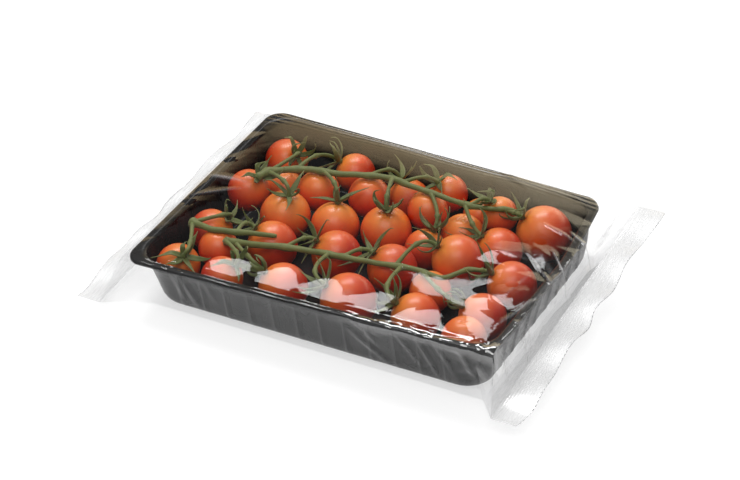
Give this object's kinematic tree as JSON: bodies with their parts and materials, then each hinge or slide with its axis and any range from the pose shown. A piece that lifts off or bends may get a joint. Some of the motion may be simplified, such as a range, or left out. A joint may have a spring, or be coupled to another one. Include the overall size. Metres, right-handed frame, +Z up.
{
  "type": "tomato tray",
  "caption": "Shallow ribbed food tray full of cherry tomatoes on the vine, wrapped in a clear film bag with crimped end seals and vent holes.",
  "frame": {"origin": "middle of the pack on the table, at the flat underside of the film", "axes": "+X along the tray's length to the right-hand seal of the picture, +Y across it to the back, +Z up"},
  "size_m": [0.23, 0.1726, 0.0379],
  "materials": {
    "tray_plastic": "glossy black formed sheet",
    "film_clear": "clear glossy film",
    "tomato_skin": "smooth waxy ripe skin",
    "vine_green": "matt green, finely haired"
  },
  "bodies": {
    "root": {"tray": "tray_plastic", "film_wrap": "film_clear", "vine_front": "vine_green", "vine_back": "vine_green", "tomato_01": "tomato_skin", "tomato_02": "tomato_skin", "tomato_03": "tomato_skin", "tomato_04": "tomato_skin", "tomato_05": "tomato_skin", "tomato_06": "tomato_skin", "tomato_07": "tomato_skin", "tomato_08": "tomato_skin", "tomato_09": "tomato_skin", "tomato_10": "tomato_skin", "tomato_11": "tomato_skin", "tomato_12": "tomato_skin", "tomato_13": "tomato_skin", "tomato_14": "tomato_skin", "tomato_15": "tomato_skin", "tomato_16": "tomato_skin", "tomato_17": "tomato_skin", "tomato_18": "tomato_skin", "tomato_19": "tomato_skin", "tomato_20": "tomato_skin", "tomato_21": "tomato_skin", "tomato_22": "tomato_skin", "tomato_23": "tomato_skin", "tomato_24": "tomato_skin", "tomato_25": "tomato_skin", "tomato_26": "tomato_skin", "tomato_27": "tomato_skin", "tomato_28": "tomato_skin", "tomato_29": "tomato_skin", "tomato_30": "tomato_skin", "tomato_31": "tomato_skin", "tomato_32": "tomato_skin", "tomato_33": "tomato_skin"}
  },
  "joints": []
}
